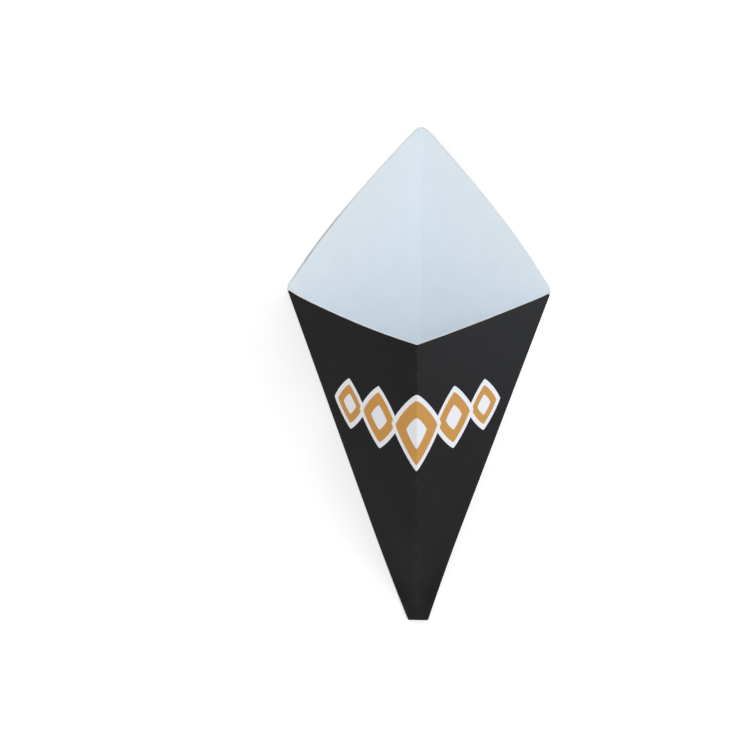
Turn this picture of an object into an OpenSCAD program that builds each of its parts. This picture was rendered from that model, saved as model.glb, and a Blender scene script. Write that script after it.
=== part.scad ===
// Paper crepe cone: one die-cut blank of printed board, scored along four folds, folded into a
// diamond-section cone and glued along an inside flap. Its tip is pressed flat, its front rim dips
// and its back rises to a rounded peak. It lies on its left back panel, mouth towards -Y. Millimetres.

/* [Mouth] */
// Width of the mouth between the side folds, at the rim corners
mouth_w = 123; // [100:1:148]
// Depth of the mouth between the front and back folds, at the height of the rim corners
mouth_d = 86; // [70:1:104]

/* [Folds] */
// Length of each side fold, from the tip's end to the rim corner
side_fold = 191.5; // [155:0.5:228]
// Length of the front fold, from the tip's end to the low point of the rim
front_fold = 179; // [145:0.5:213]
// Length of the back fold, from the tip's end to where the two rim curves would meet
back_fold = 250.5; // [203:0.5:299]

/* [Board] */
// Thickness of the board
board = 0.45; // [0.35:0.01:0.6]

/* [Rim] */
// Height of each back rim curve above the straight line between its ends
back_bow = 4; // [1:0.1:6]
// Where that curve stands highest, as a share of its length from the rim corner
back_bow_at = 0.375; // [0.3:0.005:0.6]
// Radius of the rounded peak
peak_r = 6.3; // [3:0.1:9]
// Depth of each front rim curve below the straight line between its ends
front_sag = 1.4; // [0.2:0.1:3]

/* [Tip] */
// Width of the flat tip
tip_w = 9.2; // [7:0.1:12]
// Length of the tip that is glued flat
seal_len = 8; // [5:0.5:12]
// Height above the tip's end at which the panels are flat again
flat_from = 60; // [45:1:75]

/* [Glue flap] */
// Width of the flap
flap_w = 14; // [10:0.5:18]
// Distance of the flap's ends from the rim and from the pinched tip
flap_setback = 7; // [4:0.5:10]
// Slant of the flap's ends, as rise over width
flap_slant = 0.6; // [0.3:0.05:1]

/* [Hidden] */

// Steps in the round outside of a fold, along a rim curve, round the peak and up the pinched tip
fold_steps = 4;
rim_steps = 12;
peak_steps = 6;
pinch_steps = 8;
// A scored fold never lies quite flat: the least half angle of its round outside
least_fold = 12;
// How far the flap's solid runs into the board that carries it, as a share of the board
bite = 0.3;

// The upright cone has the tip's end at height 0, X to the right and Y to the back. Folds are
// numbered round it: right, back, left, front. Even ones are the side folds.
half_w = mouth_w / 2;
tip_half = tip_w / 2;
corner_h = sqrt(pow(side_fold, 2) - pow(half_w - tip_half, 2));
spread = (half_w - tip_half) / corner_h;
depth_share = mouth_d / mouth_w;
apex = [0, 0, -tip_half / spread];
FOLDS = [0, 1, 2, 3];
AWAY = [[1, 0, 0], [0, 1, 0], [-1, 0, 0], [0, -1, 0]];

function unit(v) = v / norm(v);
function is_side(i) = i % 2 == 0;
function half_width(z) = tip_half + spread * z;

// The front and back folds leave the flat tip in a parabola that runs into the straight fold
pinch = flat_from - seal_len;
fold_slope = depth_share * spread;
bend = (fold_slope * pinch - depth_share * half_width(flat_from)) / pow(pinch, 2);
function half_depth(z) =
    let (x = z - seal_len) x <= 0 ? 0 : (fold_slope - 2 * bend * pinch) * x + bend * x * x;
function depth_slope(z) =
    let (x = z - seal_len) x < 0 ? 0 : (x == 0 ? 0.5 : 1) * (fold_slope + 2 * bend * (x - pinch));

// A fold's point on the inside of the board at height z, and the outward direction across it
function reach(i, z) = is_side(i) ? half_width(z) : half_depth(z);
function lean(i, z) = is_side(i) ? spread : depth_slope(z);
function fold_point(i, z) = AWAY[i] * reach(i, z) + [0, 0, z];
function outward(i, z) = unit(AWAY[i] - [0, 0, lean(i, z)]);
function half_turn(i, z) =
    max(least_fold, atan2(reach(i, z), reach(i + 1, z) * sqrt(1 + pow(lean(i, z), 2))));

// The round outside of a fold at height z, drawn about a point on its inside line
function round_fold(i, z, p) = [
    for (k = [0:fold_steps])
        let (a = (2 * k / fold_steps - 1) * half_turn(i, z))
        p + board * (cos(a) * outward(i, z) + sin(a) * AWAY[(i + 1) % 4])
];

// Directions of the straight folds from the apex, and the outward normal of the panel after each
LINE = [for (i = FOLDS) unit(AWAY[i] * (is_side(i) ? spread : fold_slope) + [0, 0, 1])];
NORMAL = [for (i = FOLDS) unit(cross(LINE[(i + 1) % 4], LINE[i]))];
panel_angle = acos(LINE[0] * LINE[1]);

// Lengths of the folds on the blank, from the apex
side_r = side_fold + norm([tip_half, apex.z]);
tip_r = norm([depth_share * tip_half, apex.z]);
back_r = back_fold + tip_r;
front_r = front_fold + tip_r;

// One panel of the flat blank: x along its side fold from the apex, y towards its middle fold
middle = [cos(panel_angle), sin(panel_angle)];
across = [sin(panel_angle), -cos(panel_angle)];
corner = [side_r, 0];
function bezier(a, b, c, t) = (1 - t) * (1 - t) * a + 2 * t * (1 - t) * b + t * t * c;

// A rim curve from the rim corner to the middle fold, its end rounded to radius r about that fold
function rim(mid_r, bow, bow_at, r) =
    let (
        peak = mid_r * middle,
        chord = peak - corner,
        pull = corner + (2 * bow_at - 0.5) * chord + 2 * bow * unit([chord.y, -chord.x]),
        run = unit(peak - pull),
        b = acos(run * middle),
        start = peak - run * r / tan(b),
        centre = peak - middle * r / sin(b)
    )
    concat(
        [for (k = [0:rim_steps]) bezier(corner, pull, start, k / rim_steps)],
        r == 0 ? [] : [
            for (k = [peak_steps - 1:-1:0])
                let (a = (90 - b) * k / peak_steps)
                centre + r * (cos(a) * middle + sin(a) * across)
        ]
    );
back_rim = rim(back_r, back_bow, back_bow_at, peak_r);
front_rim = rim(front_r, -front_sag, 0.5, 0);

// The blank folded up: panel i lies between folds i and i + 1, and its side fold is the even one
function side_of(i) = is_side(i) ? i : (i + 1) % 4;
function middle_of(i) = is_side(i) ? (i + 1) % 4 : i;
function panel_y(i) = let (s = LINE[side_of(i)], m = LINE[middle_of(i)]) unit(m - (m * s) * s);
function fold_up(i, p) = apex + p.x * LINE[side_of(i)] + p.y * panel_y(i);
function reversed(list) = [for (k = [len(list) - 1:-1:0]) list[k]];
function inner_rim(i) =
    let (curve = [for (p = (middle_of(i) == 1 ? back_rim : front_rim)) fold_up(i, p)])
    is_side(i) ? curve : reversed(curve);
function ends_off(list) = [for (k = [1:len(list) - 2]) list[k]];

// Laid down: the left back panel turned to the floor, the cone's length along Y
down = NORMAL[1];
length_way = -unit([0, 0, 1] - down.z * down);
TURN = [cross(length_way, -down), length_way, -down];
function turned(p) = TURN * (p - apex) + [0, 0, board];

// Rings of points from the tip's end up to the flat panels, and then the rim
HEIGHTS = concat([0], [for (k = [0:pinch_steps]) seal_len + pinch * k / pinch_steps]);
rings = len(HEIGHTS);
ring_size = 4 * (fold_steps + 1);
OUTER = [for (z = HEIGHTS, i = FOLDS) each round_fold(i, z, fold_point(i, z))];
OUTER_RIM = [
    for (i = FOLDS) each concat(
        round_fold(i, flat_from, inner_rim(i)[0]),
        [for (p = ends_off(inner_rim(i))) p + board * NORMAL[i]]
    )
];
INNER = [for (k = [1:rings - 1], i = FOLDS) fold_point(i, HEIGHTS[k])];
INNER_RIM = [for (i = FOLDS) each [for (k = [0:len(inner_rim(i)) - 2]) inner_rim(i)[k]]];
points = [for (p = concat(OUTER, OUTER_RIM, INNER, INNER_RIM)) turned(p)];
low = [min([for (p = points) p.x]), min([for (p = points) p.y]), 0];
high = [max([for (p = points) p.x]), max([for (p = points) p.y]), 0];
centre = (low + high) / 2;

// Where each list starts among the points, and where each panel starts in the rim lists
outer_rim_at = len(OUTER);
inner_at = outer_rim_at + len(OUTER_RIM);
inner_rim_at = inner_at + len(INNER);
rim_pieces = [for (i = FOLDS) len(inner_rim(i)) - 1];
function sum_to(list, n) = n == 0 ? 0 : list[n - 1] + sum_to(list, n - 1);
function inner_start(i) = sum_to(rim_pieces, i);
function outer_start(i) = inner_start(i) + i * fold_steps;

// Index of a point in the outer rings, the inner rings and the two rims. The inner rings start in
// a line, where the front and back folds share one point.
function outer_i(k, n) = k * ring_size + n % ring_size;
function inner_i(k, i) = inner_at + k * 4 + (k == 0 && i % 4 == 3 ? 1 : i % 4);
function outer_rim_i(n) = outer_rim_at + n % len(OUTER_RIM);
function inner_rim_i(n) = inner_rim_at + n % len(INNER_RIM);
function two(a, b, c, d) = [[a, b, c], [a, c, d]];

faces = concat(
    [[for (n = [0:ring_size - 1]) outer_i(0, n)]],
    [
        for (k = [0:rings - 2], n = [0:ring_size - 1])
            each two(outer_i(k, n), outer_i(k + 1, n), outer_i(k + 1, n + 1), outer_i(k, n + 1))
    ],
    [
        for (i = FOLDS, n = [0:fold_steps - 1])
            let (r = i * (fold_steps + 1) + n, e = outer_start(i) + n)
            each two(outer_i(rings - 1, r), outer_rim_i(e), outer_rim_i(e + 1), outer_i(rings - 1, r + 1))
    ],
    [
        for (i = FOLDS)
            let (r = i * (fold_steps + 1) + fold_steps, e = outer_start(i) + fold_steps)
            concat(
                [outer_i(rings - 1, r)],
                [for (n = [0:rim_pieces[i]]) outer_rim_i(e + n)],
                [outer_i(rings - 1, r + 1)]
            )
    ],
    [
        for (k = [0:rings - 3], i = FOLDS)
            each two(inner_i(k, i), inner_i(k, i + 1), inner_i(k + 1, i + 1), inner_i(k + 1, i))
    ],
    [
        for (i = FOLDS)
            concat(
                [inner_i(rings - 2, i), inner_i(rings - 2, i + 1)],
                [for (n = [rim_pieces[i]:-1:0]) inner_rim_i(inner_start(i) + n)]
            )
    ],
    [
        for (i = FOLDS, n = [0:fold_steps - 1])
            let (e = outer_start(i) + n)
            [inner_rim_i(inner_start(i)), outer_rim_i(e + 1), outer_rim_i(e)]
    ],
    [
        for (i = FOLDS, n = [0:rim_pieces[i] - 1])
            let (a = inner_start(i) + n, e = outer_start(i) + fold_steps + n)
            each two(inner_rim_i(a), inner_rim_i(a + 1), outer_rim_i(e + 1), outer_rim_i(e))
    ]
);

// The board folded into the cone
module folded_board() {
    translate(-centre) polyhedron(points = points, faces = faces, convexity = 6);
}

// Puts a flat shape, drawn as one panel of the blank, on the inside of panel i, its height inwards
module on_panel(i) {
    x = TURN * LINE[side_of(i)];
    y = TURN * panel_y(i);
    z = -TURN * NORMAL[i];
    o = turned(apex) - centre;
    multmatrix([
        [x.x, y.x, z.x, o.x],
        [x.y, y.y, z.y, o.y],
        [x.z, y.z, z.z, o.z],
    ]) children();
}

// The flap that runs on from the right back panel, folded in and glued to the right front panel
module glue_flap() {
    rim_fall = (side_r - front_r * middle.x) / (front_r * middle.y);
    top = side_r - flap_setback;
    bottom = norm(fold_point(0, flat_from) - apex) + flap_setback;
    on_panel(3) translate([0, 0, -bite * board]) linear_extrude((1 + bite) * board)
        polygon([
            [bottom, -bite * board],
            [bottom + flap_slant * flap_w, flap_w],
            [top - (rim_fall + flap_slant) * flap_w, flap_w],
            [top, -bite * board],
        ]);
}

module paper_cone() {
    color([0.16, 0.16, 0.165]) union() {
        folded_board();
        glue_flap();
    }
}

paper_cone();
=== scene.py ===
"""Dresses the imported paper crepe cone: a folded board, printed outside and white inside.

The board takes the place of the plain solid, and lies in a plain studio.
"""

import math
from collections import namedtuple

import bmesh
import bpy
from bpy.props import FloatProperty, FloatVectorProperty, PointerProperty
from mathutils import Matrix, Vector


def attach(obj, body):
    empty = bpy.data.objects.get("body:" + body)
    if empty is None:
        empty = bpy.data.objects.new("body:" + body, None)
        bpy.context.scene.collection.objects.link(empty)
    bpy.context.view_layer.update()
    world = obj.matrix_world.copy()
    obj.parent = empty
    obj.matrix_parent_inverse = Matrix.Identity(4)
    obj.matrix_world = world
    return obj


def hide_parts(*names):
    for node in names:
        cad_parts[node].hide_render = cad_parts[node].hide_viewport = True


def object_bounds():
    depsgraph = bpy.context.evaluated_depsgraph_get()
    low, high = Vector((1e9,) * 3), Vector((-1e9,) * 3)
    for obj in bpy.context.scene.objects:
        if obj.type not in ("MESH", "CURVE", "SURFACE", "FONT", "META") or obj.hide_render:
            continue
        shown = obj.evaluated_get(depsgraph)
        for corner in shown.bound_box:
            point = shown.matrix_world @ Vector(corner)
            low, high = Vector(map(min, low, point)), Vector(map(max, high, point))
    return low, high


bl_info = {
    "name": "Paper Crepe Cone",
    "version": (1, 0, 0),
    "blender": (4, 5, 0),
    "location": "3D View > Sidebar > Crepe Cone",
    "description": "Folds the printed board of a paper crepe cone and lights it in a plain studio",
    "category": "Add Mesh",
}

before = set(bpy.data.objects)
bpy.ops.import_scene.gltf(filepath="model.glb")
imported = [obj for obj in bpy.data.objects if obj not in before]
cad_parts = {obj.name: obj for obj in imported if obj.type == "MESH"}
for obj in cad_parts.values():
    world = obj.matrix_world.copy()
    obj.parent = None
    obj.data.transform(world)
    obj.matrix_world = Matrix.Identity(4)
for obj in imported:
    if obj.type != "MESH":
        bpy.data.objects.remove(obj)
CAD_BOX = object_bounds()

CONE_NODE = "paper_cone"

# Folds are numbered round the upright cone: right, back, left, front. Even ones are the side folds
FOLDS = range(4)
RIGHT_FOLD, LEFT_FOLD, FRONT_FOLD = 0, 2, 3
AWAY = [Vector((1, 0, 0)), Vector((0, 1, 0)), Vector((-1, 0, 0)), Vector((0, -1, 0))]
UP = Vector((0, 0, 1))
# Panel i lies between folds i and i + 1. The cone lies on its left back panel
LEFT_BACK, RIGHT_FRONT = 1, 3

# How finely the board is divided: round a fold, across a panel, up the sealed tip, up the pinch,
# up the flat panels, and along a rim curve
FOLD_STEPS = 8
PANEL_STEPS = 20
SEAL_STEPS = 4
PINCH_STEPS = 18
CLIMB_STEPS = 40
RIM_POINTS = 240
# Places through the board at which its cut edge has points, from the outside to the inside
EDGE_PLACES = (0.86, 0.5, 0.14)
# Distances from a fold at which columns of points follow it, where the panel is wide enough
FOLD_MARGINS = (0.0, 0.0004, 0.001, 0.0022, 0.004)
WIDE_ENOUGH = 0.022
# The round inside of a fold: the column that it starts from, its first and last point as shares
# of the way across, and where the close points between them start and how far they go
FILLET_MARGIN = 2
FILLET_ENDS, FILLET_START, FILLET_SPAN = (0.12, 0.88), 0.2, 0.6
# Least half turn of a fold's round outside, angle from which an edge is sharp, and gap under which
# two points are one
LEAST_FOLD = math.radians(12)
SHARP_ANGLE = math.radians(38)
MERGE_GAP = 1e-8
# Half depth of the tip's hollow from which the scored ridges stand at their full height
RIDGE_ROOM = 0.006
# Depths in the right front panel's cut edge, as shares of the board, down to the folded flap's root
SEAM_DEPTHS = (0.0, 0.3, 0.6, 0.9)
# Distances from the rim corner at which the back rims swell and the front rims dip most
BACK_SWELL_AT, FRONT_DIP_AT = 0.0022, 0.007
# Crown of the rim's cut edge as a share of the board
EDGE_CROWN = 0.08
# Lines along the tip's end: place between its back and front, depth, and place through the board
TIP_LINES = (
    (0.25, 0.0, 0.5),
    (0.45, 0.0, 0.0),
    (0.5, 0.0002, 0.0),
    (0.55, 0.0, 0.0),
    (0.75, 0.0, 0.5),
)
# The flap: divisions up and across, then how far its root is tucked in, how far it is sunk into the
# panel that carries it, and how far its edge is rounded, as shares of the board
FLAP_STEPS_UP, FLAP_STEPS_ACROSS = 60, 14
FLAP_TUCK, FLAP_SUNK, FLAP_ROUNDING = 0.45, 0.25, 0.12

# Names under which the mesh carries its measures to the materials
BLANK_MAP = "Blank"
THROUGH, FOLD_GAP, RIM_GAP, CORNER_GAP = "through_board", "fold_gap", "rim_gap", "corner_gap"
OUTSIDE, INSIDE, EDGE = range(3)


def number(name, description, default, **settings):
    return FloatProperty(name=name, description=description, default=default, **settings)


def metres(name, description, default):
    return number(name, description, default, unit="LENGTH", precision=5)


def degrees(name, description, default):
    return number(name, description, math.radians(default), subtype="ANGLE")


def factor(name, description, default):
    return number(name, description, default, subtype="FACTOR")


def watts(name, description, default):
    return number(name, description, default, unit="POWER")


def tint(name, description, default):
    return FloatVectorProperty(
        name=name, description=description, default=default, size=3, subtype="COLOR", min=0, max=1
    )


class ConeSizes(bpy.types.PropertyGroup):
    """Sizes of the folded blank"""

    mouth_width: metres("Mouth Width", "Width between the side folds at the rim corners", 0.123)
    mouth_depth: metres("Mouth Depth", "Depth of the mouth at the rim corners' height", 0.086)
    side_fold: metres("Side Fold", "Length of each side fold, from the tip's end", 0.1915)
    front_fold: metres("Front Fold", "Length of the front fold, from the tip's end", 0.179)
    back_fold: metres("Back Fold", "Length of the back fold, up to where the rims meet", 0.2505)
    board: metres("Board", "Thickness of the board", 0.00045)
    back_bow: metres("Back Bow", "Height of each back rim curve above its chord", 0.0035)
    back_bow_at: factor("Back Bow Place", "Share of the chord at which it is highest", 0.375)
    peak_radius: metres("Peak Radius", "Radius of the rounded peak", 0.0063)
    front_sag: metres("Front Sag", "Depth of each front rim curve below its chord", 0.0014)
    tip_width: metres("Tip Width", "Width of the flat tip", 0.0092)
    seal: metres("Seal", "Length of the tip that is glued flat", 0.008)
    flat_from: metres("Flat From", "Height at which the panels are flat again", 0.06)
    flap_width: metres("Flap Width", "Width of the glue flap", 0.014)
    flap_setback: metres("Flap Setback", "From the flap's ends to rim and pinched tip", 0.007)
    flap_slant: factor("Flap Slant", "Rise over width of the flap's slanted ends", 0.6)
    back_swell: metres("Back Swell", "How much higher the back rims are by the side folds", 0.00085)
    left_front_dip: metres("Left Front Dip", "How much lower the left front rim is there", 0.0007)
    right_front_dip: metres("Right Front Dip", "The same for the right front rim", 0.0003)
    left_front_bow: metres("Left Front Bow", "How far the left front panel bows out", 0.0012)
    right_front_bow: metres("Right Front Bow", "The same for the right front panel", -0.0006)
    tip_lean: metres("Tip Lean", "How far the pinched tip leans to the right at its end", 0.0012)
    ridge: metres("Scored Ridge", "Height of the ridge that scoring leaves in a fold", 0.00016)


class ConeLook(bpy.types.PropertyGroup):
    """Colours of the printed board, and the layout of its print"""

    ink: tint("Black Ink", "The printed ground outside", (0.0085, 0.0084, 0.0085))
    orange: tint("Orange Ink", "The filled lozenges", (0.60, 0.305, 0.078))
    outline: tint("Outline", "The off-white round the lozenges", (0.84, 0.85, 0.88))
    white: tint("White Board", "The unprinted inside", (0.765, 0.835, 0.895))
    core: tint("Board Core", "The cut edge", (0.86, 0.835, 0.765))
    # This colour also stands for painted shade: it makes the dark line at the back rims, partly ink
    # and partly shade
    smudge_and_shade: tint("Smudge", "Ink and dust that the die drags over the rim", (0.15, 0.115, 0.045))
    row_height: metres("Row Height", "Distance of the row of lozenges from the apex", 0.141)
    lozenge_width: metres("Lozenge Width", "Width of the middle lozenge", 0.0275)
    lozenge_height: metres("Lozenge Height", "Height of the middle lozenge", 0.047)
    taper: factor("Taper", "Size of each lozenge over its inner neighbour's", 0.82)
    outline_width: metres("Outline Width", "Width of the off-white line", 0.0019)


class ConeStudio(bpy.types.PropertyGroup):
    """Camera and light"""

    lens: number("Lens", "Focal length in millimetres", 115.2, unit="CAMERA")
    elevation: degrees("Elevation", "Height of the camera over the upright cone's level", 26.91)
    azimuth: degrees("Azimuth", "Turn of the camera round the upright cone", -1.87)
    distance: metres("Distance", "From the camera to its aim", 1.1682)
    aim: FloatVectorProperty(
        name="Aim",
        description="Where the middle of the picture lies, from the upright cone's tip",
        default=(-0.02115, 0.01764, 0.12902),
        subtype="TRANSLATION",
    )
    key_power: watts("Key Power", "Power of the large soft light", 22.5)
    side_power: watts("Side Power", "Power of the light that glances off the right panel", 0.27)
    side_colour: tint("Side Colour", "Its slightly cool colour", (0.80, 0.87, 1.0))
    room_light: number("Room Light", "Strength of the even light", 0.63)


def next_fold(i):
    return (i + 1) % len(FOLDS)


def bezier(a, b, c, t):
    return (1 - t) ** 2 * a + 2 * t * (1 - t) * b + t**2 * c


def along(points, distances):
    """The points at these distances along a line through close points."""
    found, start, step = [], 0.0, 0
    for distance in distances:
        run = points[step + 1] - points[step]
        while step < len(points) - 2 and start + run.length < distance:
            start += run.length
            step += 1
            run = points[step + 1] - points[step]
        found.append(points[step] + run * min(1.0, (distance - start) / run.length))
    return found


def columns_across(width):
    """Distances from a panel's first fold at which its columns stand, closest beside its folds."""
    shrink = min(1.0, width / WIDE_ENOUGH)
    near = [margin * shrink for margin in FOLD_MARGINS]
    free = width - 2 * near[-1]
    between = [near[-1] + free * k / (PANEL_STEPS + 1) for k in range(1, PANEL_STEPS + 1)]
    return near + between + [width - margin for margin in reversed(near)]


class FoldedCone:
    """The folds, panels and rims of the upright cone, with the middle of its tip's end as origin.

    The folds are lines on the inside of the board, as in the part's own source.
    """

    def __init__(self, sizes):
        self.sizes = sizes
        self.board = sizes.board
        self.tip_half = sizes.tip_width / 2
        widening = sizes.mouth_width / 2 - self.tip_half
        self.spread = widening / math.sqrt(sizes.side_fold**2 - widening**2)
        self.depth_share = sizes.mouth_depth / sizes.mouth_width
        self.apex = Vector((0, 0, -self.tip_half / self.spread))
        self.fold_slope = self.depth_share * self.spread
        self.pinch = sizes.flat_from - sizes.seal
        half_depth = self.depth_share * self.half_width(sizes.flat_from)
        self.bend = (self.fold_slope * self.pinch - half_depth) / self.pinch**2

        slopes = [self.spread, self.fold_slope, self.spread, self.fold_slope]
        self.line = [(AWAY[i] * slopes[i] + UP).normalized() for i in FOLDS]
        self.normal = [self.line[next_fold(i)].cross(self.line[i]).normalized() for i in FOLDS]
        self.angle = self.line[0].angle(self.line[1])
        self.middle = Vector((math.cos(self.angle), math.sin(self.angle)))
        self.across = Vector((self.middle.y, -self.middle.x))

        tip_radius = math.hypot(self.depth_share * self.tip_half, self.apex.z)
        self.side_radius = sizes.side_fold + math.hypot(self.tip_half, self.apex.z)
        back_radius, front_radius = sizes.back_fold + tip_radius, sizes.front_fold + tip_radius
        back = self.rim(back_radius, sizes.back_bow, sizes.back_bow_at, sizes.peak_radius)
        front = self.rim(front_radius, -sizes.front_sag, bow_at=0.5, round_radius=0.0)
        dips = (sizes.left_front_dip, sizes.right_front_dip)
        self.rims = [self.swelled(back, sizes.back_swell, BACK_SWELL_AT)] * 2
        self.rims += [self.swelled(front, -dip, FRONT_DIP_AT) for dip in dips]
        self.bows = [0.0, 0.0, sizes.left_front_bow, sizes.right_front_bow]

        down = self.normal[LEFT_BACK]
        length_way = -(UP - down.z * down).normalized()
        self.turn = Matrix((length_way.cross(-down), length_way, -down))
        self.shift = Vector((0, 0, self.board))
        tip = [p for i in FOLDS for p in self.round_fold(i, 0.0, self.fold_point(i, 0.0))]
        self.shift.y = CAD_BOX[1].y - max(self.laid(p).y for p in tip)

    def laid(self, point):
        """The place of a point of the upright cone once it lies on its left back panel."""
        return self.turn @ (point - self.apex) + self.shift

    def half_width(self, z):
        return self.tip_half + self.spread * z

    def half_depth(self, z):
        """None along the seal. From there it opens fast at first, until the panels are flat."""
        x = max(0.0, z - self.sizes.seal)
        return (self.fold_slope - 2 * self.bend * self.pinch) * x + self.bend * x * x

    def depth_slope(self, z):
        """Growth of the half depth. At the seal's end it is between the seal's and the pinch's."""
        x = z - self.sizes.seal
        if x < 0:
            return 0.0
        return (0.5 if x == 0 else 1.0) * (self.fold_slope + 2 * self.bend * (x - self.pinch))

    def reach(self, i, z):
        """How far fold i is from the upright axis at height z."""
        return self.half_width(z) if i % 2 == 0 else self.half_depth(z)

    def lean(self, i, z):
        """How fast it moves away from the axis there."""
        return self.spread if i % 2 == 0 else self.depth_slope(z)

    def fold_point(self, i, z):
        return AWAY[i % len(FOLDS)] * self.reach(i, z) + Vector((0, 0, z))

    def round_fold(self, i, z, point):
        """The round outside of fold i at height z, from the panel before it to the one after it."""
        reach, side_reach = self.reach(i, z), self.reach(i + 1, z)
        half = max(LEAST_FOLD, math.atan2(reach, side_reach * math.hypot(1, self.lean(i, z))))
        turns = [(2 * k / FOLD_STEPS - 1) * half for k in range(FOLD_STEPS + 1)]
        outward, side = self.outward(i, z), AWAY[next_fold(i)]
        return [point + self.board * (math.cos(a) * outward + math.sin(a) * side) for a in turns]

    def rim(self, middle_radius, bow, bow_at, round_radius):
        """One rim curve on the flat blank, from the rim corner to the middle fold.

        x runs along the panel's side fold from the apex, and y towards its middle fold.
        """
        corner = Vector((self.side_radius, 0))
        peak = middle_radius * self.middle
        chord = peak - corner
        off_chord = Vector((chord.y, -chord.x)).normalized()
        # The middle of a bezier curve lies halfway between its pull and the middle of its ends
        pull = corner + (2 * bow_at - 0.5) * chord + 2 * bow * off_chord
        run = (peak - pull).normalized()
        slant = run.angle(self.middle)
        start = peak - run * round_radius / math.tan(slant)
        centre = peak - self.middle * round_radius / math.sin(slant)
        curve = [bezier(corner, pull, start, k / RIM_POINTS) for k in range(RIM_POINTS + 1)]
        if round_radius > 0:
            turns = [(math.pi / 2 - slant) * k / RIM_POINTS for k in reversed(range(RIM_POINTS))]
            ways = [math.cos(a) * self.middle + math.sin(a) * self.across for a in turns]
            curve += [centre + round_radius * way for way in ways]
        return curve

    def swelled(self, curve, height, at):
        """A rim curve raised beside its side fold, most at this distance from the rim corner."""
        shares = [(place - curve[0]).length / at for place in curve]
        rises = [height * share * math.exp(1 - share) for share in shares]
        return [place + Vector((rise, 0)) for place, rise in zip(curve, rises)]

    def on_panel(self, i, place):
        """The upright point of a place on panel i of the flat blank."""
        side = self.line[i if i % 2 == 0 else next_fold(i)]
        middle = self.line[next_fold(i) if i % 2 == 0 else i]
        inward = (middle - middle.dot(side) * side).normalized()
        return self.apex + place.x * side + place.y * inward

    def rim_points(self, i):
        """The points of panel i's rim, one for each column, from fold i to fold i + 1."""
        curve = self.rims[i]
        length = sum((b - a).length for a, b in zip(curve, curve[1:]))
        points = [self.on_panel(i, place) for place in along(curve, columns_across(length))]
        return points if i % 2 == 0 else points[::-1]

    def outward(self, i, z):
        """The way that fold i faces at height z."""
        return (AWAY[i] - Vector((0, 0, self.lean(i, z)))).normalized()

    def bow(self, i, share, radius, z):
        """How far panel i bows out, in a parabola over its width, at a distance from the apex."""
        rise = min(1.0, max(0.0, (z - self.sizes.seal) / self.pinch))
        return self.bows[i] * 4 * share * (1 - share) * radius / self.side_radius * rise

    def leaning(self, spot):
        """A point of the straight cone with the lean of its tip."""
        share = max(0.0, 1 - spot.place.z / self.sizes.flat_from)
        lean = AWAY[RIGHT_FOLD] * self.sizes.tip_lean * share**2
        return spot._replace(place=spot.place + lean)

    def ridge(self, z):
        """Height of the scored ridge inside each fold. It fades out in the pinched tip."""
        return self.sizes.ridge * min(1.0, self.half_depth(z) / RIDGE_ROOM)


# A point of the board: its place, how far through the board it lies (0 inside, 1 outside), and its
# distances from the nearest fold and from the rim
Spot = namedtuple("Spot", "place through fold_gap rim_gap")
Panel = namedtuple("Panel", "inside outside shares")
Row = namedtuple("Row", "outside inside turns")


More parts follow.
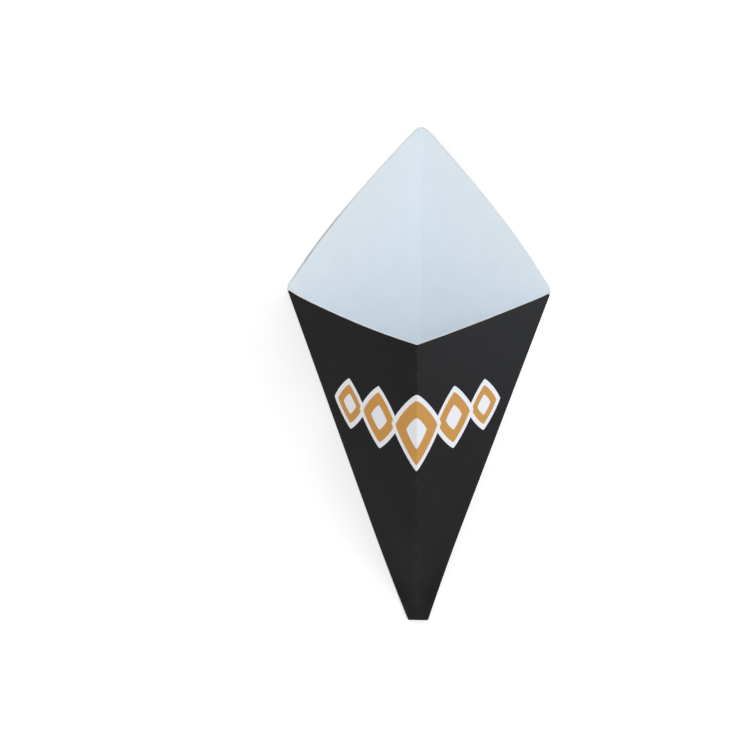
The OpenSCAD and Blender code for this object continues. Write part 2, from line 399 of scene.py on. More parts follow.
class BoardRows:
    """Rows of points round the cone, outside and inside, from the tip's end to the rim."""

    def __init__(self, cone):
        self.cone = cone
        sizes = cone.sizes
        seal = [(sizes.seal * k / SEAL_STEPS, 0.0) for k in range(SEAL_STEPS)]
        pinch = [(sizes.seal + cone.pinch * k / PINCH_STEPS, 0.0) for k in range(PINCH_STEPS + 1)]
        climb = [(sizes.flat_from, k / CLIMB_STEPS) for k in range(1, CLIMB_STEPS + 1)]
        self.rims = [cone.rim_points(i) for i in FOLDS]
        self.flat_ring = [self.inside_columns(i, sizes.flat_from) for i in FOLDS]
        self.first_inside = len(seal)
        self.rows = [self.row(z, share) for z, share in seal + pinch + climb]

    def inside_columns(self, i, z):
        """Panel i's columns at height z, on the inside of the board, with its two folds."""
        first, last = self.cone.fold_point(i, z), self.cone.fold_point(i + 1, z)
        width = (last - first).length
        return [first.lerp(last, d / width) for d in columns_across(width)]

    def panel(self, i, z, climb):
        """Panel i's columns, inside and outside, each with its share of the panel's width."""
        cone = self.cone
        inside = self.inside_columns(i, z)
        width = (inside[-1] - inside[0]).length
        first = cone.round_fold(i, z, inside[0])[-1]
        last = cone.round_fold(next_fold(i), z, inside[-1])[0]
        outside = [first.lerp(last, (p - inside[0]).length / width) for p in inside]
        rises = [rim - flat for rim, flat in zip(self.rims[i], self.flat_ring[i])]
        places = [p + r * climb for p, r in zip(inside, rises)]
        rays = [p - cone.apex for p in places]
        turns = [(ray.angle(rays[0]), ray.angle(rays[-1])) for ray in rays]
        shares = [a / (a + b) for a, b in turns]
        spots = [[], []]
        for k, rise in enumerate(rises):
            bow = cone.normal[i] * cone.bow(i, shares[k], rays[k].length, z)
            fold_gap = rays[k].length * math.sin(min(turns[k]))
            rim_gap = rise.length * (1 - climb) + cone.sizes.flat_from - z
            for through, skin in enumerate((inside, outside)):
                place = skin[k] + rise * climb + bow
                spots[through].append(Spot(place, float(through), fold_gap, rim_gap))
        return Panel(*spots, shares)

    def fillet(self, i, z, panels):
        """Points across the inside of fold i: rounded, with the scored ridge."""
        before, after = panels[i - 1].inside, panels[i].inside
        near, corner, far = before[-1 - FILLET_MARGIN].place, after[0], after[FILLET_MARGIN].place
        lift = -self.cone.outward(i, z) * self.cone.ridge(z)
        first, last = FILLET_ENDS
        close = [FILLET_START + FILLET_SPAN * k / FOLD_STEPS for k in range(FOLD_STEPS + 1)]
        return [
            corner._replace(
                place=bezier(near, corner.place, far, t) + lift * math.sin(math.pi * t) ** 2
            )
            for t in (first, *close, last)
        ]

    def outer_fold(self, i, z, corner):
        """The round outside of fold i. At the right fold the front panel ends in its cut edge."""
        arc = self.cone.round_fold(i, z, corner.place)
        throughs = [1.0] * len(arc)
        if i == RIGHT_FOLD:
            edge = [arc[0].lerp(corner.place, depth) for depth in SEAM_DEPTHS]
            arc[: len(edge)] = edge
            throughs[: len(edge)] = [1 - depth for depth in SEAM_DEPTHS]
        return [corner._replace(place=p, through=t) for p, t in zip(arc, throughs)]

    def row(self, z, climb):
        """One row round the cone. Each point's turn on the flat blank is given twice, for the faces
        before it and after it, as the blank's two ends meet at the right fold."""
        angle, half = self.cone.angle, FOLD_STEPS // 2
        panels = [self.panel(i, z, climb) for i in FOLDS]
        fillets = [self.fillet(i, z, panels) for i in FOLDS]
        outside, inside, turns = [], [], []
        for i in FOLDS:
            turn = (i - FRONT_FOLD) * angle
            end = angle if i == RIGHT_FOLD else turn
            turns += [(end, end)] * half + [(end, turn)] + [(turn, turn)] * half
            turns += [(turn + share * angle,) * 2 for share in panels[i].shares[1:-1]]
            outside += self.outer_fold(i, z, panels[i].inside[0]) + panels[i].outside[1:-1]
            inside += fillets[i][1:] + panels[i].inside[2:-2] + fillets[next_fold(i)][:1]
        outside, inside = ([self.cone.leaning(s) for s in spots] for spots in (outside, inside))
        return Row(outside, inside, turns)


class BoardMesh:
    """Collects the board's points and faces with the measures that its materials read."""

    def __init__(self, cone):
        self.cone = cone
        self.upright = cone.turn.inverted()
        self.bm = bmesh.new()
        self.blank = self.bm.loops.layers.uv.new(BLANK_MAP)
        names = (THROUGH, FOLD_GAP, RIM_GAP, CORNER_GAP)
        self.layers = [self.bm.verts.layers.float.new(name) for name in names]
        corners = [cone.apex + cone.line[i] * cone.side_radius for i in (RIGHT_FOLD, LEFT_FOLD)]
        self.corners = [cone.laid(corner) for corner in corners]

    def add_row(self, spots):
        row = []
        for spot in spots:
            vert = self.bm.verts.new(self.cone.laid(spot.place))
            corner_gap = min((vert.co - corner).length for corner in self.corners)
            measures = (spot.through, spot.fold_gap, spot.rim_gap, corner_gap)
            for layer, measure in zip(self.layers, measures):
                vert[layer] = measure
            row.append(vert)
        return row

    def place(self, vert, turn):
        """Where a point lies on the flat blank. Its apex is the origin, its front fold upright."""
        radius = (vert.co - self.cone.laid(self.cone.apex)).length
        return radius * math.sin(turn), radius * math.cos(turn)

    def strip(self, low, high, turns, material, edge_columns=0):
        """Faces between two rows of points, right round. The first columns may be a cut edge."""
        count = len(low)
        for k in range(count):
            n = (k + 1) % count
            here, there = turns[k][1], turns[n][0]
            corners = [(low[k], here), (high[k], here), (high[n], there), (low[n], there)]
            self.face(corners, EDGE if k < edge_columns else material)

    def face(self, corners, material):
        face = self.bm.faces.new([vert for vert, _ in corners])
        face.material_index = material
        face.smooth = True
        for loop, (vert, turn) in zip(face.loops, corners):
            loop[self.blank].uv = self.place(vert, turn)

    def between(self, a, b, share, way, lift):
        """The upright place part way from one point to another, lifted a little along a way."""
        laid = a.co.lerp(b.co, share) - self.cone.shift
        return self.upright @ laid + self.cone.apex + way * lift

    def finish(self, name, materials):
        bmesh.ops.remove_doubles(self.bm, verts=self.bm.verts, dist=MERGE_GAP)
        bmesh.ops.recalc_face_normals(self.bm, faces=self.bm.faces)
        for edge in self.bm.edges:
            edge.smooth = edge.calc_face_angle(0.0) < SHARP_ANGLE
        mesh = bpy.data.meshes.new(name)
        self.bm.to_mesh(mesh)
        self.bm.free()
        for material in materials:
            mesh.materials.append(material)
        return add_object(name, mesh)


def add_object(name, data):
    """A new object in the scene."""
    thing = bpy.data.objects.new(name, data)
    bpy.context.scene.collection.objects.link(thing)
    return thing


def build_board(cone):
    """The folded board as one closed mesh."""
    whole = BoardRows(cone)
    board = BoardMesh(cone)
    outer = [board.add_row(row.outside) for row in whole.rows]
    inner = [board.add_row(row.inside) for row in whole.rows[whole.first_inside:]]
    turns = [row.turns for row in whole.rows]
    for k in range(len(outer) - 1):
        board.strip(outer[k], outer[k + 1], turns[k], OUTSIDE, edge_columns=len(SEAM_DEPTHS) - 1)
    for k in range(len(inner) - 1):
        board.strip(inner[k], inner[k + 1], turns[whole.first_inside + k], INSIDE)
    close_rim(board, outer[-1], inner[-1], turns[-1])
    close_tip(board, outer[0])
    return board


def close_rim(board, outer, inner, turns):
    """The board's cut edge round the mouth, very slightly crowned."""
    apex = board.cone.laid(board.cone.apex)
    ways = [(board.upright @ (vert.co - apex)).normalized() for vert in outer]
    last = outer
    for through in EDGE_PLACES:
        crown = EDGE_CROWN * board.cone.board * (1 - (2 * through - 1) ** 2)
        spots = [
            Spot(board.between(b, a, through, way, crown), through, 0.0, 0.0)
            for a, b, way in zip(outer, inner, ways)
        ]
        row = board.add_row(spots)
        board.strip(last, row, turns, EDGE)
        last = row
    board.strip(last, inner, turns, EDGE)


def close_tip(board, ring):
    """The tip's cut end, with the fine gap between its two layers of board."""
    half = len(ring) // 2
    start = FOLD_STEPS // 2
    back = [ring[(start + k) % len(ring)] for k in range(half + 1)]
    front = [ring[(start - k) % len(ring)] for k in range(half + 1)]
    pairs = list(zip(back, front))[1:-1]
    lines = [back]
    for share, depth, through in TIP_LINES:
        spots = [Spot(board.between(b, f, share, UP, depth), through, 0.0, 0.0) for b, f in pairs]
        lines.append([back[0]] + board.add_row(spots) + [back[-1]])
    lines.append(front)
    for low, high in zip(lines, lines[1:]):
        for k in range(half):
            corners = [low[k], high[k], high[k + 1], low[k + 1]]
            corners = [c for n, c in enumerate(corners) if c not in corners[:n]]
            board.face([(vert, 0.0) for vert in corners], EDGE)


def flap_section(width, board):
    """The flap's section: distances from the fold, and heights over the panel that carries it."""
    rounding, sunk = FLAP_ROUNDING * board, FLAP_SUNK * board
    start = -FLAP_TUCK * board
    flat = width - rounding - start
    upper = [(start + flat * k / FLAP_STEPS_ACROSS, board) for k in range(FLAP_STEPS_ACROSS + 1)]
    return upper + [(width, board - rounding), (width, board / 2), (width, -sunk), (sunk, -sunk)]


def build_flap(cone):
    """The glue flap, a sheet with slanted ends on the inside of the right front panel."""
    sizes = cone.sizes
    rim_end = cone.rims[RIGHT_FRONT][-1]
    rim_fall = (cone.side_radius - rim_end.x) / rim_end.y
    pinch_end = (cone.fold_point(RIGHT_FOLD, sizes.flat_from) - cone.apex).length
    bottom, top = pinch_end + sizes.flap_setback, cone.side_radius - sizes.flap_setback
    normal = cone.normal[RIGHT_FRONT]
    flap = BoardMesh(cone)
    grid = []
    for k in range(FLAP_STEPS_UP + 1):
        spots = []
        for y, height in flap_section(sizes.flap_width, cone.board):
            low = bottom + sizes.flap_slant * max(0.0, y)
            high = top - (rim_fall + sizes.flap_slant) * max(0.0, y)
            place = Vector((low + (high - low) * k / FLAP_STEPS_UP, y))
            point = cone.on_panel(RIGHT_FRONT, place)
            ray = point - cone.apex
            share = 1 - ray.angle(cone.line[RIGHT_FOLD]) / cone.angle
            bow = cone.bow(RIGHT_FRONT, share, ray.length, sizes.flat_from)
            through = min(1.0, max(0.0, 1 - height / cone.board))
            spots.append(Spot(point + normal * (bow - height), through, WIDE_ENOUGH, WIDE_ENOUGH))
        grid.append(flap.add_row(spots))
    turn = cone.angle
    for low, high in zip(grid, grid[1:]):
        for k in range(len(low)):
            n = (k + 1) % len(low)
            corners = [(vert, turn) for vert in (low[k], high[k], high[n], low[n])]
            flap.face(corners, INSIDE if k < FLAP_STEPS_ACROSS else EDGE)
    for end in (grid[0], grid[-1]):
        flap.face([(vert, turn) for vert in end], EDGE)
    return flap


# How the nodes of a tree are laid out: width and height of a place, and places in a line
NODE_WIDTH, NODE_HEIGHT, NODES_A_LINE = 180, 220, 12


class Nodes:
    """Adds nodes to one tree and links them. Sockets and plain values can stand for each other."""

    def __init__(self, tree):
        self.tree = tree
        self.count = 0

    def add(self, kind, values=None, **settings):
        node = self.tree.nodes.new(kind)
        line, column = divmod(self.count, NODES_A_LINE)
        node.location = (NODE_WIDTH * column, -NODE_HEIGHT * line)
        self.count += 1
        for name, value in settings.items():
            setattr(node, name, value)
        for name, value in (values or {}).items():
            self.put(node.inputs[name], value)
        return node

    def put(self, socket, value):
        if isinstance(value, bpy.types.NodeSocket):
            self.tree.links.new(value, socket)
        elif value is not None:
            socket.default_value = value

    def maths(self, operation, *values, clamp=False):
        node = self.add("ShaderNodeMath", operation=operation, use_clamp=clamp)
        for socket, value in zip(node.inputs, values):
            self.put(socket, value)
        return node.outputs[0]

    def times(self, first, second):
        return self.maths("MULTIPLY", first, second)

    def plus(self, first, second, clamp=False):
        return self.maths("ADD", first, second, clamp=clamp)

    def span(self, value, low, high, to_low=0.0, to_high=1.0, kind="SMOOTHSTEP"):
        """Maps a value from one span to another and holds it there."""
        node = self.add("ShaderNodeMapRange", interpolation_type=kind)
        for socket, end in zip(node.inputs, (value, low, high, to_low, to_high)):
            self.put(socket, end)
        return node.outputs[0]

    def fade(self, value, low, high):
        """1 up to the low end of a span, and down to 0 at its high end."""
        return self.span(value, low, high, 1.0, 0.0)

    def mix(self, share, first, second):
        """Mixes two colours. The node's sockets for colours are inputs 6 and 7 and output 2."""
        node = self.add("ShaderNodeMix", data_type="RGBA")
        for k, value in ((0, share), (6, first), (7, second)):
            self.put(node.inputs[k], value)
        return node.outputs[2]

    def noise(self, place, scale, detail, roughness):
        values = {"Vector": place, "Scale": scale, "Detail": detail, "Roughness": roughness}
        return self.add("ShaderNodeTexNoise", values).outputs["Fac"]

    def stretched(self, place, scale):
        node = self.add("ShaderNodeVectorMath", operation="MULTIPLY")
        self.put(node.inputs[0], place)
        self.put(node.inputs[1], scale)
        return node.outputs[0]

    def distance(self, place):
        """How far a place is from the origin."""
        node = self.add("ShaderNodeVectorMath", {"Vector": place}, operation="LENGTH")
        return node.outputs["Value"]

    def parts(self, place):
        return self.add("ShaderNodeSeparateXYZ", {"Vector": place}).outputs

    def group(self, name, values):
        return self.add("ShaderNodeGroup", values, node_tree=shared_group(name)).outputs

    def attribute(self, name):
        return self.add("ShaderNodeAttribute", attribute_name=name).outputs["Fac"]

    def blank_place(self):
        return self.add("ShaderNodeUVMap", uv_map=BLANK_MAP).outputs["UV"]

    def object_place(self):
        return self.add("ShaderNodeTexCoord").outputs["Object"]


# The fibres: how the long grain and the grain across it are stretched, the second one's fineness
# over the first's, their shares of the height, and the detail and roughness of each pattern
GRAIN_STRETCH, CROSS_STRETCH = (1.0, 0.28, 1.0), (0.4, 1.0, 1.0)
CROSS_FINENESS = 0.55
GRAIN_SHARE, CROSS_SHARE = 0.6, 0.4
GRAIN_NOISE, CROSS_NOISE, CLOUD_NOISE = (4.0, 0.62), (3.0, 0.55), (5.0, 0.58)


def board_fibre(nodes, given):
    """Matted fibres of the board: a long-grained pattern, soft clouds and a height to bump."""
    grain = nodes.stretched(given["Place"], GRAIN_STRETCH)
    fibre = nodes.noise(grain, given["Fibre Scale"], *GRAIN_NOISE)
    cross_grain = nodes.stretched(given["Place"], CROSS_STRETCH)
    cross_scale = nodes.times(given["Fibre Scale"], CROSS_FINENESS)
    cross = nodes.noise(cross_grain, cross_scale, *CROSS_NOISE)
    cloud = nodes.noise(given["Place"], given["Cloud Scale"], *CLOUD_NOISE)
    height = nodes.plus(nodes.times(fibre, GRAIN_SHARE), nodes.times(cross, CROSS_SHARE))
    return {"Fibre": fibre, "Cloud": cloud, "Height": height}


# Wear: scale, detail and roughness of its specks and its patches, and the spans of these patterns
# in which specks, cracked stretches and rubbed stretches come up
SPECK_NOISE, PATCH_NOISE = (3200.0, 4.0, 0.65), (140.0, 3.0, 0.6)
SPECKED, CRACKED, RUBBED = (0.45, 0.75), (0.35, 0.7), (0.4, 0.7)


def fold_wear_and_shade(nodes, given):
    """Where folds and cut edge have been handled: fine cracks and rubbed patches. Also a band along
    each fold for painted shade in the creases.
    """
    specks = nodes.noise(given["Place"], *SPECK_NOISE)
    patches = nodes.noise(given["Place"], *PATCH_NOISE)
    near = nodes.fade(given["Fold Gap"], 0.0, given["Crack Reach"])
    cracks = nodes.times(nodes.span(specks, *SPECKED), nodes.span(patches, *CRACKED))
    closest = nodes.maths("MINIMUM", given["Fold Gap"], given["Rim Gap"])
    rub = nodes.fade(closest, 0.0, given["Rub And Shade Reach"])
    return {
        "Crack": nodes.times(near, cracks),
        "Rub": nodes.times(rub, nodes.span(patches, *RUBBED)),
        # Painted shade along each fold, used for the inside's creases
        "Crease": nodes.fade(given["Fold Gap"], 0.0, given["Rub And Shade Reach"]),
    }


# A lozenge: the power that rounds its sides, how far its heart is set in as a share of its half
# width, and how soft the edges of its shape, its fill and its heart are
LOZENGE_POWER, HEART_INSET = 1.18, 0.52
SHAPE_SOFTNESS, FILL_SOFTNESS, HEART_SOFTNESS = 0.008, 0.009, 0.02


def printed_lozenge(nodes, given):
    """One printed lozenge: masks of its shape, its fill and its heart, at a place along the row."""
    x, y = nodes.maths("ABSOLUTE", given["Along"]), nodes.maths("ABSOLUTE", given["Rise"])
    lean = nodes.maths("DIVIDE", given["Half Width"], given["Half Height"])
    flare = nodes.maths("SQRT", nodes.plus(1.0, nodes.times(lean, lean)))

    def inside(inset, softness):
        """1 inside a lozenge whose sides lie this far within the first one's."""
        width = nodes.maths("SUBTRACT", given["Half Width"], nodes.times(inset, flare))
        height = nodes.maths("DIVIDE", width, lean)
        shares = [nodes.maths("DIVIDE", a, b) for a, b in ((x, width), (y, height))]
        parts = [nodes.maths("POWER", share, LOZENGE_POWER) for share in shares]
        return nodes.fade(nodes.plus(*parts), 1.0 - softness, 1.0 + softness)

    heart_inset = nodes.times(given["Half Width"], HEART_INSET)
    return {
        "Shape": inside(0.0, SHAPE_SOFTNESS),
        "Fill": inside(given["Line"], FILL_SOFTNESS),
        "Heart": inside(heart_inset, HEART_SOFTNESS),
    }


# What makes each shared node group, and its inputs. An input without a value is a place
GROUP_MAKERS = {
    "Board Fibre": (board_fibre, {"Place": None, "Fibre Scale": 1600.0, "Cloud Scale": 90.0}),
    "Fold Wear And Shade": (
        fold_wear_and_shade,
        {"Place": None, "Fold Gap": 1.0, "Rim Gap": 1.0, "Crack Reach": 0.0004, "Rub And Shade Reach": 0.003},
    ),
    "Printed Lozenge": (
        printed_lozenge,
        {"Along": 0.0, "Rise": 0.0, "Half Width": 0.013, "Half Height": 0.022, "Line": 0.002},
    ),
}


def shared_group(name):
    """The shader node group of this name, which is built once."""
    if name in bpy.data.node_groups:
        return bpy.data.node_groups[name]
    make, inputs = GROUP_MAKERS[name]
    group = bpy.data.node_groups.new(name, "ShaderNodeTree")
    for title, default in inputs.items():
        kind = "NodeSocketVector" if default is None else "NodeSocketFloat"
        socket = group.interface.new_socket(name=title, in_out="INPUT", socket_type=kind)
        if default is not None:
            socket.default_value = default
    nodes = Nodes(group)
    made = make(nodes, nodes.add("NodeGroupInput").outputs)
    for title in made:
        group.interface.new_socket(name=title, in_out="OUTPUT", socket_type="NodeSocketFloat")
    nodes.add("NodeGroupOutput", made)
    return group


def colour_of(value, shade=1.0):
    """A colour as a socket takes it, made darker or lighter by a factor."""
    return (*(part * shade for part in value), 1.0)


def new_material(name):
    material = bpy.data.materials.new(name)
    material.use_nodes = True
    material.node_tree.nodes.clear()
    nodes = Nodes(material.node_tree)
    shader = nodes.add("ShaderNodeBsdfPrincipled")
    nodes.add("ShaderNodeOutputMaterial", {"Surface": shader.outputs["BSDF"]})
    return material, nodes, shader


# Span of the fibre pattern, from its dark fibres to its light ones
FIBRE_SPAN = (0.3, 0.7)


def by_fibre(nodes, fibre, low, high):
    """A value that follows the fibres, from a low number on the dark ones to a high one."""
    return nodes.span(fibre["Fibre"], *FIBRE_SPAN, low, high, "LINEAR")


def bump(nodes, height, distance, strength, normal=None):
    values = {"Height": height, "Distance": distance, "Strength": strength, "Normal": normal}
    return nodes.add("ShaderNodeBump", values).outputs["Normal"]


# The ink: its darkest and lightest shade, and the span of clouds between them
INK_SHADES, INK_CLOUDS = (0.88, 1.16), (0.35, 0.68)
# How much of the white shows where the print is rubbed and where it is cracked, how much
# white is mixed in as painted light at the tip's end, and the distances from the apex between
# which that painted light fades out
RUB_SHOWS, CRACK_SHOWS, TIP_PAINTED_LIGHT = 0.005, 0.06, 0.0065
TIP_LIGHT_FADES = (0.02, 0.032)
# Distances from a rim corner between which its worn patch fades out, and how ragged the patch is
CORNER_WEAR, CORNER_RAGGED = (0.0009, 0.0014), 0.0003
# The varnish: its roughness from dark to light fibres, the span of clouds that changes it, what
# the clouds add at the two ends of that span, what cracks add, and its gloss
VARNISH_ROUGHNESS, VARNISH_CLOUDS, CLOUDS_ADD = (0.38, 0.46), (0.35, 0.65), (-0.02, 0.03)
CRACKS_ADD, VARNISH_GLOSS = 0.3, 0.07
# Depth and strength of the board's waves and of its fibres under the print
PRINT_WAVES, PRINT_FIBRES = (0.0002, 0.25), (0.00003, 0.5)


def printed_outside(look):
    """Black ink under a thin satin varnish, with the row of orange lozenges over the front fold."""
    material, nodes, shader = new_material("Printed Board")
    place = nodes.blank_place()
    fibre = nodes.group("Board Fibre", {"Place": place, "Fibre Scale": 1500.0, "Cloud Scale": 60.0})
    gaps = {"Fold Gap": nodes.attribute(FOLD_GAP), "Rim Gap": nodes.attribute(RIM_GAP)}
    wear_and_shade = nodes.group("Fold Wear And Shade", {"Place": place, **gaps})
    white = colour_of(look.white)
    dark, light = (colour_of(look.ink, shade) for shade in INK_SHADES)
    colour = nodes.mix(nodes.span(fibre["Cloud"], *INK_CLOUDS), dark, light)
    colour = lozenge_row(nodes, place, colour, look)
    colour = nodes.mix(nodes.times(wear_and_shade["Rub"], RUB_SHOWS), colour, white)
    colour = nodes.mix(nodes.times(wear_and_shade["Crack"], CRACK_SHOWS), colour, white)
    # Painted light: white mixed into the ink, which makes it lighter towards the tip's end
    tip = nodes.span(nodes.distance(place), *TIP_LIGHT_FADES, TIP_PAINTED_LIGHT, 0.0)
    colour = nodes.mix(tip, colour, white)
    ragged = by_fibre(nodes, fibre, -CORNER_RAGGED, CORNER_RAGGED)
    corner = nodes.fade(nodes.plus(nodes.attribute(CORNER_GAP), ragged), *CORNER_WEAR)
    nodes.put(shader.inputs["Base Color"], nodes.mix(corner, colour, colour_of(look.core)))
    cloudy = nodes.span(fibre["Cloud"], *VARNISH_CLOUDS, *CLOUDS_ADD)
    roughness = nodes.plus(by_fibre(nodes, fibre, *VARNISH_ROUGHNESS), cloudy)
    roughness = nodes.plus(roughness, nodes.times(wear_and_shade["Crack"], CRACKS_ADD), clamp=True)
    nodes.put(shader.inputs["Roughness"], roughness)
    shader.inputs["Specular IOR Level"].default_value = VARNISH_GLOSS
    waves = bump(nodes, fibre["Cloud"], *PRINT_WAVES)
    nodes.put(shader.inputs["Normal"], bump(nodes, fibre["Height"], *PRINT_FIBRES, waves))
    return material


# The printed row: lozenges on each side of the middle one, and their spacing as a share of touching
LOZENGES_ASIDE, ROW_OVERLAP = 2, 0.84


def row_of_lozenges(look):
    """Each lozenge's distance from the front fold and its size, with the middle one last."""
    across, size, row = 0.0, 1.0, [(0.0, 1.0)]
    for _ in range(LOZENGES_ASIDE):
        across += look.lozenge_width / 2 * size * (1 + look.taper) * ROW_OVERLAP
        size *= look.taper
        row += [(across, size), (-across, size)]
    return row[::-1]


def lozenge_row(nodes, place, ground, look):
    """Prints the lozenges over the ground, the smallest first, so the middle one lies on top."""
    parts = nodes.parts(place)
    rise = nodes.maths("SUBTRACT", parts["Y"], look.row_height)
    outline, orange = colour_of(look.outline), colour_of(look.orange)
    colour = ground
    for across, size in row_of_lozenges(look):
        values = {
            "Along": nodes.maths("SUBTRACT", parts["X"], across),
            "Rise": rise,
            "Half Width": look.lozenge_width / 2 * size,
            "Half Height": look.lozenge_height / 2 * size,
            "Line": look.outline_width,
        }
        masks = nodes.group("Printed Lozenge", values)
        for mask, ink in (("Shape", outline), ("Fill", orange), ("Heart", outline)):
            colour = nodes.mix(masks[mask], colour, ink)
    return colour


# The white: its shade in each channel, and the span of clouds from it to the plain white
WHITE_SHADE, WHITE_CLOUDS = (0.98, 0.982, 0.985), (0.36, 0.66)
# Grey of the painted shade along the creases and how much of it shows, and the fibres that show
# as specks and how much
CREASE_SHADE_GREY, CREASE_SHADE_SHOWS = (0.35, 0.36, 0.38), 0.06
SPECK_FIBRES, SPECK_SHOWS = (0.68, 0.78), 0.10
# Roughness from dark to light fibres, gloss, and depth and strength of waves and fibres
WHITE_ROUGHNESS, WHITE_GLOSS = (0.72, 0.85), 0.35
WHITE_WAVES, WHITE_FIBRES = (0.0001, 0.2), (0.00004, 0.5)


def white_inside(look):
    """Plain white board with soft fibre clouds, painted shade as a faintly greyer line along each
    crease, and a dark line at the back rims, partly ink and partly painted shade.
    """
    material, nodes, shader = new_material("White Board")
    place, rim_gap = nodes.blank_place(), nodes.attribute(RIM_GAP)
    scales = {"Fibre Scale": 1100.0, "Cloud Scale": 110.0}
    fibre = nodes.group("Board Fibre", {"Place": place, **scales})
    gaps = {"Fold Gap": nodes.attribute(FOLD_GAP), "Rim Gap": rim_gap, "Rub And Shade Reach": 0.0025}
    wear_and_shade = nodes.group("Fold Wear And Shade", {"Place": place, **gaps})
    shade = colour_of([part * share for part, share in zip(look.white, WHITE_SHADE)])
    clouds = nodes.span(fibre["Cloud"], *WHITE_CLOUDS)
    colour = nodes.mix(clouds, shade, colour_of(look.white))
    # Painted shade: a faintly greyer line along each crease
    crease = nodes.times(wear_and_shade["Crease"], CREASE_SHADE_SHOWS)
    colour = nodes.mix(crease, colour, colour_of(CREASE_SHADE_GREY))
    specks = nodes.span(fibre["Fibre"], *SPECK_FIBRES, 0.0, SPECK_SHOWS)
    colour = nodes.mix(specks, colour, colour_of(look.core))
    ink_and_shade = rim_ink_and_shade(nodes, place, rim_gap, fibre["Cloud"])
    # Painted shade, partly ink: the thin dark line along the back rims, strongest on the left one
    nodes.put(shader.inputs["Base Color"], nodes.mix(ink_and_shade, colour, colour_of(look.smudge_and_shade)))
    nodes.put(shader.inputs["Roughness"], by_fibre(nodes, fibre, *WHITE_ROUGHNESS))
    shader.inputs["Specular IOR Level"].default_value = WHITE_GLOSS
    waves = bump(nodes, fibre["Cloud"], *WHITE_WAVES)
    nodes.put(shader.inputs["Normal"], bump(nodes, fibre["Height"], *WHITE_FIBRES, waves))
    return material


# The thin dark line at the back rims, partly ink that the die drags over the rim and partly
# painted shade, on the flat blank: across, where it comes on below the peak and goes off again
# before the left rim corner, and along, where it goes off down the right back panel
RIM_LINE_ON, RIM_LINE_OFF, RIM_LINE_ALONG = (-0.135, -0.105), (-0.088, -0.076), (0.15, 0.185)
# Its least and most strength, the clouds that make it uneven, its weakest share, and its width
RIM_LINE_STRENGTH, RIM_LINE_CLOUDS, RIM_LINE_WEAKEST, RIM_LINE_WIDTH = (0.17, 0.9), (0.35, 0.6), 0.6, 0.0012


def rim_ink_and_shade(nodes, place, rim_gap, cloud):
    """The thin uneven dark line at the rim: partly ink that the die drags over it, partly painted
    shade.

    It is strongest low on the left back panel, where the rim is in shade, and fades out down the
    right back one.
    """
    parts = nodes.parts(place)
    low = nodes.times(nodes.span(parts["X"], *RIM_LINE_ON), nodes.fade(parts["X"], *RIM_LINE_OFF))
    strength = nodes.span(low, 0.0, 1.0, *RIM_LINE_STRENGTH, "LINEAR")
    shown = nodes.times(strength, nodes.span(parts["Y"], *RIM_LINE_ALONG))
    uneven = nodes.times(shown, nodes.span(cloud, *RIM_LINE_CLOUDS, RIM_LINE_WEAKEST, 1.0))
    return nodes.times(uneven, nodes.fade(rim_gap, 0.0, RIM_LINE_WIDTH))


# The core: its dark shade, and the span of clouds from it to the plain core
CORE_SHADE, CORE_CLOUDS = 0.72, (0.35, 0.7)
# Places through the board between which the white face ends, how much of it shows, the places
# between which the ink starts, and how ragged both are
FACE_ENDS, FACE_SHOWS, INK_STARTS, EDGE_RAGGED = (0.05, 0.2), 0.85, (0.78, 0.9), 0.07
# Roughness from dark to light fibres, and depth and strength of the torn fibres
EDGE_ROUGHNESS, EDGE_FIBRES = (0.8, 0.95), (0.00008, 0.8)


def cut_edge(look):
    """The die-cut edge: a cream core between the white face and the ink, with torn fibres."""
    material, nodes, shader = new_material("Cut Edge")
    scales = {"Fibre Scale": 4200.0, "Cloud Scale": 260.0}
    fibre = nodes.group("Board Fibre", {"Place": nodes.object_place(), **scales})
    torn = by_fibre(nodes, fibre, -EDGE_RAGGED, EDGE_RAGGED)
    through = nodes.plus(nodes.attribute(THROUGH), torn)
    dark, core = colour_of(look.core, CORE_SHADE), colour_of(look.core)
    colour = nodes.mix(nodes.span(fibre["Cloud"], *CORE_CLOUDS), dark, core)
    face = nodes.span(through, *FACE_ENDS, FACE_SHOWS, 0.0)
    colour = nodes.mix(face, colour, colour_of(look.white))
    colour = nodes.mix(nodes.span(through, *INK_STARTS), colour, colour_of(look.ink))
    nodes.put(shader.inputs["Base Color"], colour)
    nodes.put(shader.inputs["Roughness"], by_fibre(nodes, fibre, *EDGE_ROUGHNESS))
    nodes.put(shader.inputs["Normal"], bump(nodes, fibre["Height"], *EDGE_FIBRES))
    return material


def board_materials():
    """The board's three materials, made once."""
    look = bpy.context.scene.crepe_cone_look
    makers = {"Printed Board": printed_outside, "White Board": white_inside, "Cut Edge": cut_edge}
    return [bpy.data.materials.get(name) or make(look) for name, make in makers.items()]


class CREPECONE_OT_folded_board(bpy.types.Operator):
    """Fold the printed board into the cone, in place of the plain solid"""

    bl_idname = "crepe_cone.folded_board"
    bl_label = "Folded Board"
    bl_options = {"REGISTER", "UNDO"}

    def execute(self, context):
        board = build_board(FoldedCone(context.scene.crepe_cone_sizes))
        piece = board.finish("folded_board", board_materials())
        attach(piece, "root")
        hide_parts(CONE_NODE)
        return {"FINISHED"}


class CREPECONE_OT_glue_flap(bpy.types.Operator):
    """Glue the flap to the inside of the right front panel"""

    bl_idname = "crepe_cone.glue_flap"
    bl_label = "Glue Flap"
    bl_options = {"REGISTER", "UNDO"}

    def execute(self, context):
        flap = build_flap(FoldedCone(context.scene.crepe_cone_sizes))
        piece = flap.finish("glue_flap", board_materials())
        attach(piece, "root")
        return {"FINISHED"}


# Each soft light's way from what it shines on, its distance and its size
KEY_LIGHT = (Vector((0.35, -0.6, 0.75)), 2.2, 1.6)
SIDE_LIGHT = (Vector((-0.487, 0.768, 0.416)), 0.3, 0.16)
# How far beyond the right rim corner the side light is aimed
BEYOND_CORNER = 0.05


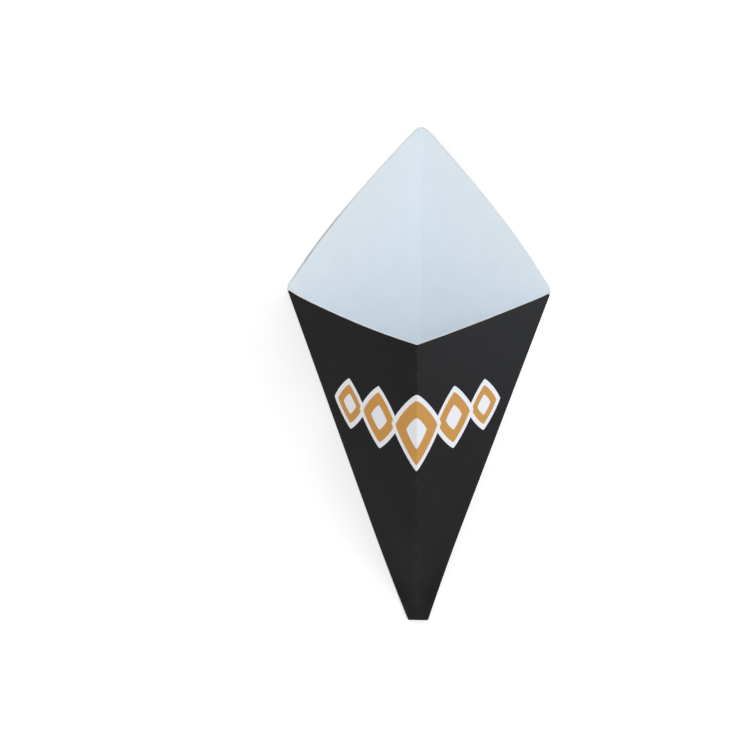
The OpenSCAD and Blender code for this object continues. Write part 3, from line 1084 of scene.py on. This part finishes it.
class CREPECONE_OT_studio(bpy.types.Operator):
    """Set up the floor, the soft lights, the white surroundings and the camera"""

    bl_idname = "crepe_cone.studio"
    bl_label = "Studio"
    bl_options = {"REGISTER", "UNDO"}

    def execute(self, context):
        scene, studio = context.scene, context.scene.crepe_cone_studio
        scene.view_settings.view_transform = "Standard"
        lay_floor()
        light_room(scene, studio)
        cone = FoldedCone(scene.crepe_cone_sizes)
        add_softbox("Key Light", (CAD_BOX[0] + CAD_BOX[1]) / 2, *KEY_LIGHT, studio.key_power)
        above_corner = cone.line[RIGHT_FOLD] * (cone.side_radius + BEYOND_CORNER)
        aim = cone.laid(cone.apex + above_corner)
        side = add_softbox("Side Light", aim, *SIDE_LIGHT, studio.side_power)
        side.color = studio.side_colour
        scene.camera = add_camera(cone, studio)
        return {"FINISHED"}


def white_to_the_eye(nodes):
    """1 for rays from the camera, off gloss and through glass, which see plain white around."""
    rays = nodes.add("ShaderNodeLightPath").outputs
    seen = nodes.maths("MAXIMUM", rays["Is Camera Ray"], rays["Is Glossy Ray"])
    return nodes.maths("MAXIMUM", seen, rays["Is Transmission Ray"])


PLAIN_WHITE = (1.0, 1.0, 1.0, 1.0)
# The floor: its size, its grey, its roughness and how far it lies below the cone
FLOOR_SIZE, FLOOR_GREY, FLOOR_ROUGHNESS, FLOOR_DROP = 8.0, 0.78, 0.95, 0.00005
# Distances from the origin between which it brightens to the eye, and its brightness at both
FLOOR_BRIGHTENS, FLOOR_BRIGHTNESS = (0.2, 0.7), (0.3, 1.0)


def lay_floor():
    """A plain pale floor that keeps the cone's shadow, a hair below the cone."""
    mesh = bpy.data.meshes.new("floor")
    half, z = FLOOR_SIZE / 2, -FLOOR_DROP
    corners = [(-half, -half, z), (half, -half, z), (half, half, z), (-half, half, z)]
    mesh.from_pydata(corners, [], [(0, 1, 2, 3)])
    floor = add_object("floor", mesh)
    material, nodes, shader = new_material("Pale Floor")
    shader.inputs["Base Color"].default_value = colour_of([FLOOR_GREY] * 3)
    shader.inputs["Roughness"].default_value = FLOOR_ROUGHNESS
    shader.inputs["Specular IOR Level"].default_value = 0.0
    shader.inputs["Emission Color"].default_value = PLAIN_WHITE
    away = nodes.distance(nodes.object_place())
    brightness = nodes.span(away, *FLOOR_BRIGHTENS, *FLOOR_BRIGHTNESS)
    strength = nodes.times(white_to_the_eye(nodes), brightness)
    nodes.put(shader.inputs["Emission Strength"], strength)
    mesh.materials.append(material)


def light_room(scene, studio):
    """Even light from all round, seen as plain white."""
    world = bpy.data.worlds.new("Studio")
    world.use_nodes = True
    nodes = Nodes(world.node_tree)
    background = world.node_tree.nodes["Background"]
    background.inputs["Color"].default_value = PLAIN_WHITE
    seen = white_to_the_eye(nodes)
    strength = nodes.span(seen, 0.0, 1.0, studio.room_light, 1.0, "LINEAR")
    nodes.put(background.inputs["Strength"], strength)
    scene.world = world


def add_softbox(name, aim, way, distance, size, power):
    """A square soft light that shines on a point from a way off. It gives the light's data."""
    data = bpy.data.lights.new(name, "AREA")
    data.shape = "SQUARE"
    data.size = size
    data.energy = power
    light = add_object(name, data)
    light.location = aim + way.normalized() * distance
    light.rotation_mode = "QUATERNION"
    light.rotation_quaternion = (-way).to_track_quat("-Z", "Y")
    return data


SENSOR_WIDTH, CLIP_NEAR, CLIP_FAR = 36.0, 0.01, 50.0


def add_camera(cone, studio):
    """The camera that saw the upright cone, turned down together with it."""
    e, a = studio.elevation, studio.azimuth
    forward = Vector((math.sin(a) * math.cos(e), math.cos(a) * math.cos(e), -math.sin(e)))
    right = Vector((math.cos(a), -math.sin(a), 0))
    up = right.cross(forward)
    place = cone.laid(Vector(studio.aim) - studio.distance * forward)
    axes = [cone.turn @ axis for axis in (right, up, -forward)]
    data = bpy.data.cameras.new("Camera")
    data.lens = studio.lens
    data.sensor_width = SENSOR_WIDTH
    data.clip_start, data.clip_end = CLIP_NEAR, CLIP_FAR
    camera = add_object("Camera", data)
    camera.matrix_world = Matrix.Translation(place) @ Matrix(axes).transposed().to_4x4()
    return camera


class CREPECONE_PT_panel(bpy.types.Panel):
    """Sizes, colours and steps of the crepe cone"""

    bl_idname = "CREPECONE_PT_panel"
    bl_label = "Crepe Cone"
    bl_space_type = "VIEW_3D"
    bl_region_type = "UI"
    bl_category = "Crepe Cone"

    def draw(self, context):
        for operator in OPERATORS:
            self.layout.operator(operator.bl_idname)
        for name, group in GROUPS.items():
            box = self.layout.box()
            for value in group.__annotations__:
                box.prop(getattr(context.scene, name), value)


GROUPS = {
    "crepe_cone_sizes": ConeSizes,
    "crepe_cone_look": ConeLook,
    "crepe_cone_studio": ConeStudio,
}
OPERATORS = (CREPECONE_OT_folded_board, CREPECONE_OT_glue_flap, CREPECONE_OT_studio)
CLASSES = (*GROUPS.values(), *OPERATORS, CREPECONE_PT_panel)


def register():
    for cls in CLASSES:
        bpy.utils.register_class(cls)
    for name, group in GROUPS.items():
        setattr(bpy.types.Scene, name, PointerProperty(type=group))


def unregister():
    for name in GROUPS:
        delattr(bpy.types.Scene, name)
    for cls in reversed(CLASSES):
        bpy.utils.unregister_class(cls)


def main():
    """Makes the pieces and the studio."""
    register()
    bpy.ops.crepe_cone.folded_board()
    bpy.ops.crepe_cone.glue_flap()
    bpy.ops.crepe_cone.studio()


if __name__ == "__main__":
    main()
